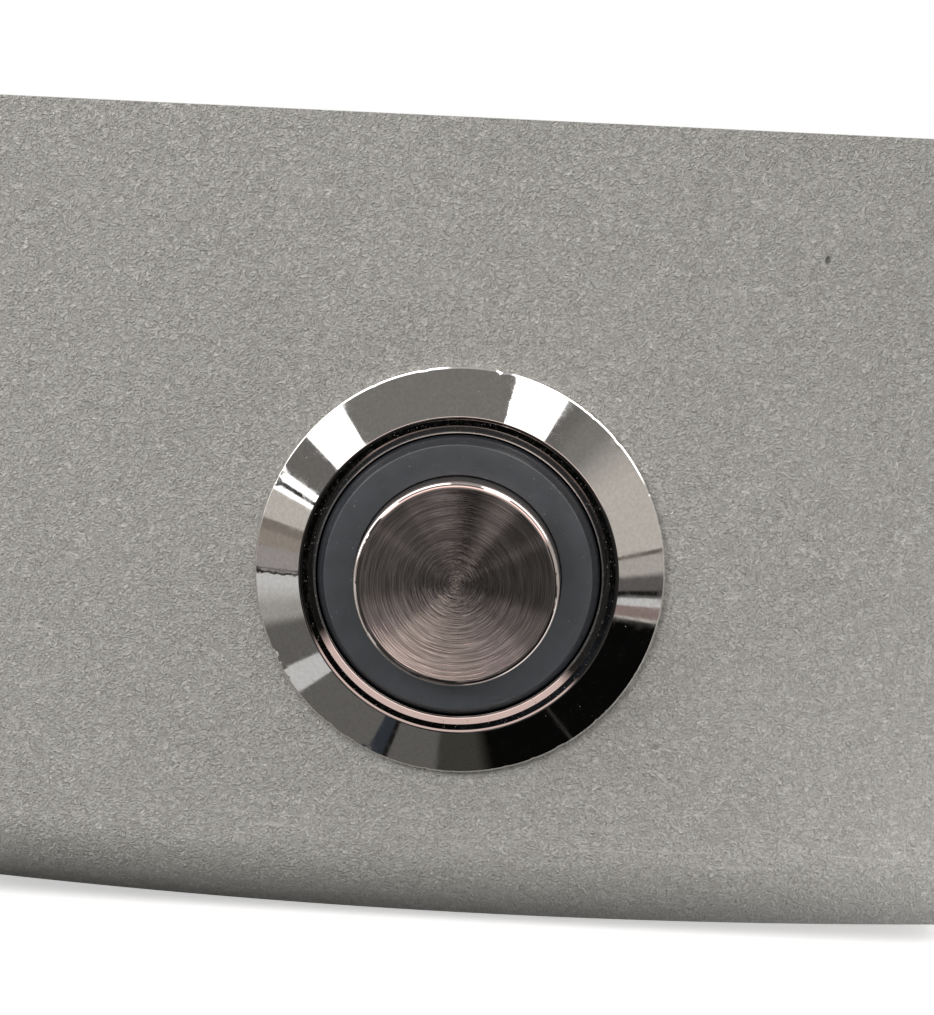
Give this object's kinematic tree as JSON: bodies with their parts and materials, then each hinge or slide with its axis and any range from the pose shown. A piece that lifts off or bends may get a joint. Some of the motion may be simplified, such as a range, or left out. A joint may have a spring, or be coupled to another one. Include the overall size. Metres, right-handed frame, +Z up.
{
  "type": "pedestrian push button",
  "caption": "Ring-lit metal push button with a chromed conical bezel, clamped by a hex nut in a textured painted housing wall with a rolled lower edge.",
  "frame": {"origin": "centre of the cap's press face at rest", "axes": "+Z up, -Y out of the wall towards the user, +Y the press direction, +X to the user's right"},
  "size_m": [0.056, 0.0347, 0.0441],
  "materials": {
    "wall_paint": "silver-grey textured powder coat",
    "bezel_chrome": "polished nickel-chrome plate",
    "turned_steel": "circular-turned stainless steel",
    "smoked_ring": "smoked translucent plastic, satin",
    "seal_rubber": "matt black",
    "black_plastic": "moulded, glass filled",
    "red_plastic": "moulded",
    "spring_steel": "drawn wire",
    "zinc_steel": "bright nickel plate",
    "terminal_brass": "stamped strip",
    "contact_silver": "silver alloy, crowned",
    "tinned_wire": "tinned",
    "circuit_board": "green solder mask",
    "led_body": "phosphor-filled lens",
    "resistor_body": "lacquered"
  },
  "bodies": {
    "body": {"housing_wall": "wall_paint", "bushing": "bezel_chrome", "panel_seal": "seal_rubber", "inner_housing": "black_plastic", "led_board": "circuit_board", "led_1": "led_body", "led_2": "led_body", "led_3": "led_body", "led_4": "led_body", "led_lead_plus": "tinned_wire", "led_lead_minus": "tinned_wire", "resistor": "resistor_body", "fixed_contact_no": "contact_silver", "fixed_contact_common": "contact_silver", "no_terminal": "terminal_brass", "common_terminal": "terminal_brass", "lamp_plus_terminal": "terminal_brass", "lamp_minus_terminal": "terminal_brass", "terminal_base": "black_plastic", "base_gasket": "seal_rubber", "return_spring": "spring_steel"},
    "button": {"actuator_cap": "turned_steel", "light_ring": "smoked_ring", "plunger_seal": "seal_rubber", "contact_carrier": "red_plastic"},
    "bridge": {"contact_bridge": "terminal_brass", "moving_contact_no": "contact_silver", "moving_contact_common": "contact_silver", "contact_spring": "spring_steel"},
    "washer": {"lock_washer": "zinc_steel"},
    "nut": {"mounting_nut": "zinc_steel"}
  },
  "joints": [
    {"name": "button_press", "type": "slide", "parent": "body", "child": "button", "axis": [0, 1, 0], "range_m": [0, 0.0022], "stiffness_N_per_m": 900, "springref_m": -0.0025, "deforming": ["return_spring", "contact_spring"]},
    {"name": "contact_close", "type": "slide", "parent": "body", "child": "bridge", "axis": [0, 1, 0], "range_m": [0, 0.0016]},
    {"name": "washer_travel", "type": "slide", "parent": "body", "child": "washer", "axis": [0, 1, 0], "range_m": [0, 0.005]},
    {"name": "nut_turn", "type": "hinge", "parent": "washer", "child": "nut", "pos_m": [0, 0.00691, 0], "axis": [0, 1, 0], "range_deg": [0, 1800]}
  ],
  "couplings": [
    {"joint": "contact_close", "follows": "button_press", "ratio": 0.72},
    {"joint": "nut_turn", "follows": "washer_travel", "rad_per_m": 6283.2}
  ]
}
